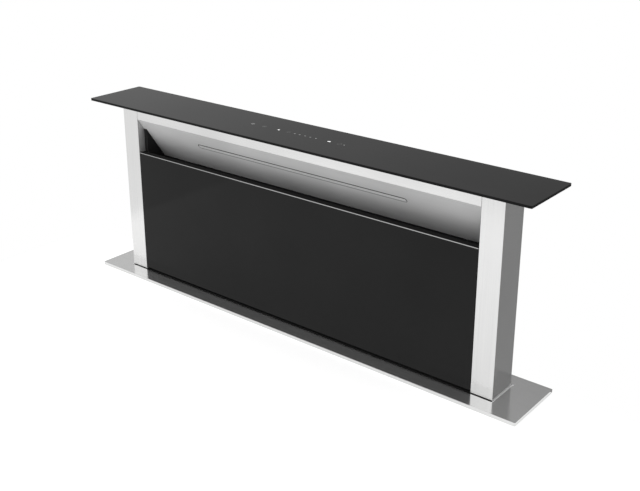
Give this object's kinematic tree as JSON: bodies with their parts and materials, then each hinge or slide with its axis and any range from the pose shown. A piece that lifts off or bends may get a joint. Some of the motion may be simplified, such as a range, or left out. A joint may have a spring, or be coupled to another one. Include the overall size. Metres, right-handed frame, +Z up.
{
  "type": "downdraft vent",
  "caption": "Worktop downdraft vent: a black glass and steel tower rises from a slim flange and draws fumes in behind a hinged glass panel, down to a blower below.",
  "frame": {"origin": "middle of the worktop cut-out, level with the worktop's top face", "axes": "+X along the vent to the right as seen from the front, -Y to the front, +Z up"},
  "size_m": [0.88, 0.2952, 0.8076],
  "materials": {
    "black_glass": "polished black toughened glass",
    "stainless": "fine brushed stainless steel",
    "galvanised": "zinc coated sheet steel",
    "steel": "machined steel",
    "aluminium": "mill finish aluminium",
    "black_plastic": "moulded black plastic",
    "white_plastic": "moulded white acetal",
    "rubber": "soft black rubber",
    "lens": "opal light lens",
    "circuit_board": "green circuit board",
    "motor_paint": "black painted steel",
    "black_coated": "black powder coated steel"
  },
  "bodies": {
    "casing": {"flange_frame": "stainless", "worktop_gasket": "rubber", "wiper_seal": "rubber", "left_rack": "white_plastic", "right_rack": "white_plastic", "left_rail": "aluminium", "right_rail": "aluminium", "lower_buffers": "rubber", "casing_front": "galvanised", "casing_rear": "galvanised", "casing_left_side": "galvanised", "casing_right_side": "galvanised", "casing_floor": "galvanised", "blower_scroll": "galvanised", "scroll_cover": "galvanised", "inlet_ring": "galvanised", "motor_plate": "galvanised", "blower_motor": "motor_paint", "outlet_adapter": "galvanised", "duct_collar": "galvanised", "flap_pin": "steel", "control_box": "black_plastic", "control_box_cover": "black_plastic", "power_board": "circuit_board", "motor_capacitor": "white_plastic", "cable_gland": "black_plastic", "worktop_clamps": "galvanised", "clamp_screws": "steel"},
    "tower": {"lid_glass": "black_glass", "lid_tray": "stainless", "touch_board": "circuit_board", "left_column": "stainless", "right_column": "stainless", "header_deflector": "stainless", "led_lens": "lens", "light_bar": "aluminium", "rear_panel": "stainless", "front_apron": "stainless", "left_cheek": "black_coated", "right_cheek": "black_coated", "filter_carrier": "stainless", "left_filter": "aluminium", "right_filter": "aluminium", "hinge_pins": "steel", "catch_magnets": "steel", "crossbar": "galvanised", "lift_gearbox": "aluminium", "lift_motor": "motor_paint", "shaft_bushes": "black_plastic", "tower_glides": "white_plastic"},
    "front_panel": {"front_glass": "black_glass", "panel_tray": "galvanised", "panel_top_trim": "stainless"},
    "lift_shaft": {"drive_shaft": "steel", "left_pinion": "steel", "right_pinion": "steel"},
    "fan_wheel": {"impeller": "black_plastic", "motor_shaft": "steel"},
    "front_damper": {"front_flap": "aluminium"},
    "rear_damper": {"rear_flap": "aluminium"}
  },
  "joints": [
    {"name": "tower_lift", "type": "slide", "parent": "casing", "child": "tower", "axis": [0, 0, 1], "range_m": [-0.3166, 0]},
    {"name": "shaft_turn", "type": "hinge", "parent": "tower", "child": "lift_shaft", "pos_m": [0, 0, -0.125], "axis": [1, 0, 0], "range_deg": [0, 1296]},
    {"name": "panel_tilt", "type": "hinge", "parent": "tower", "child": "front_panel", "pos_m": [0, -0.019, 0.018], "axis": [1, 0, 0], "range_deg": [0, 22]},
    {"name": "wheel_turn", "type": "hinge", "parent": "casing", "child": "fan_wheel", "pos_m": [-0.06, -0.1, -0.31], "axis": [0, 1, 0], "continuous": true},
    {"name": "front_flap_turn", "type": "hinge", "parent": "casing", "child": "front_damper", "pos_m": [0.175, -0.125, -0.40164], "axis": [0, 0, 1], "range_deg": [0, 80], "stiffness_Nm_per_rad": 0.03, "springref_deg": -17.19},
    {"name": "rear_flap_turn", "type": "hinge", "parent": "casing", "child": "rear_damper", "pos_m": [0.175, -0.125, -0.40164], "axis": [0, 0, -1], "range_deg": [0, 80], "stiffness_Nm_per_rad": 0.03, "springref_deg": -17.19}
  ],
  "couplings": [
    {"joint": "shaft_turn", "follows": "tower_lift", "rad_per_m": -71.429}
  ]
}
